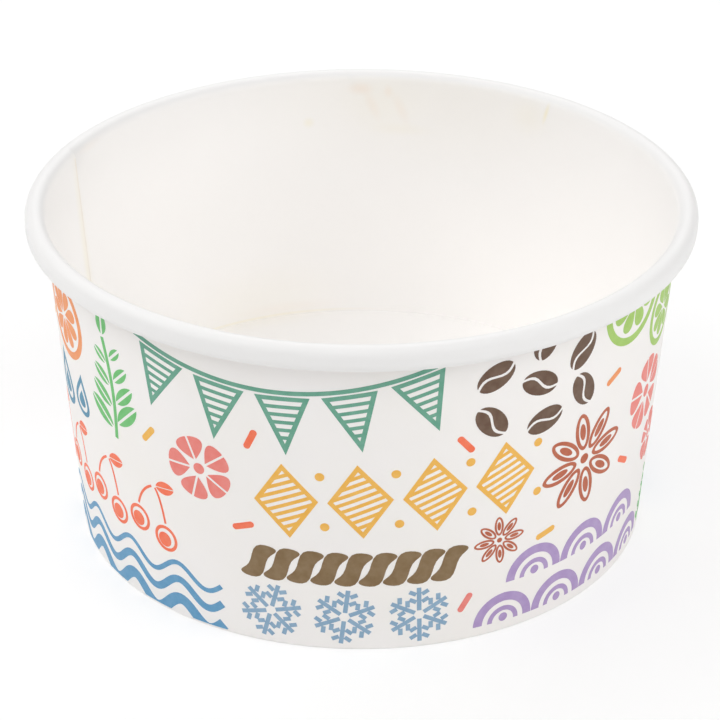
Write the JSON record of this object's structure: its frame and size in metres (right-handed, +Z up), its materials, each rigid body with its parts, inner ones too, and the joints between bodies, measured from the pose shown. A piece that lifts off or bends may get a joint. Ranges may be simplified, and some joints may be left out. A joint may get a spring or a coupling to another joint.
{
  "type": "paper dessert cup",
  "caption": "Short tapered paperboard cup with a rolled rim, a lapped side seam and a recessed base, printed outside and bare white inside, for a portion of ice cream or another cold dessert.",
  "frame": {"origin": "centre of the foot ring, on the surface that the cup stands on", "axes": "+Z up along the cup's axis, -Y towards the side that the picture shows, +X to the right there; the seam lies at the back left, 160 to 170 degrees counter-clockwise from +X"},
  "size_m": [0.088, 0.088, 0.046],
  "materials": {
    "wall_board": "coated white board, satin",
    "base_board": "coated white board, satin"
  },
  "bodies": {
    "root": {"side_wall": "wall_board", "base_disc": "base_board"}
  },
  "joints": []
}
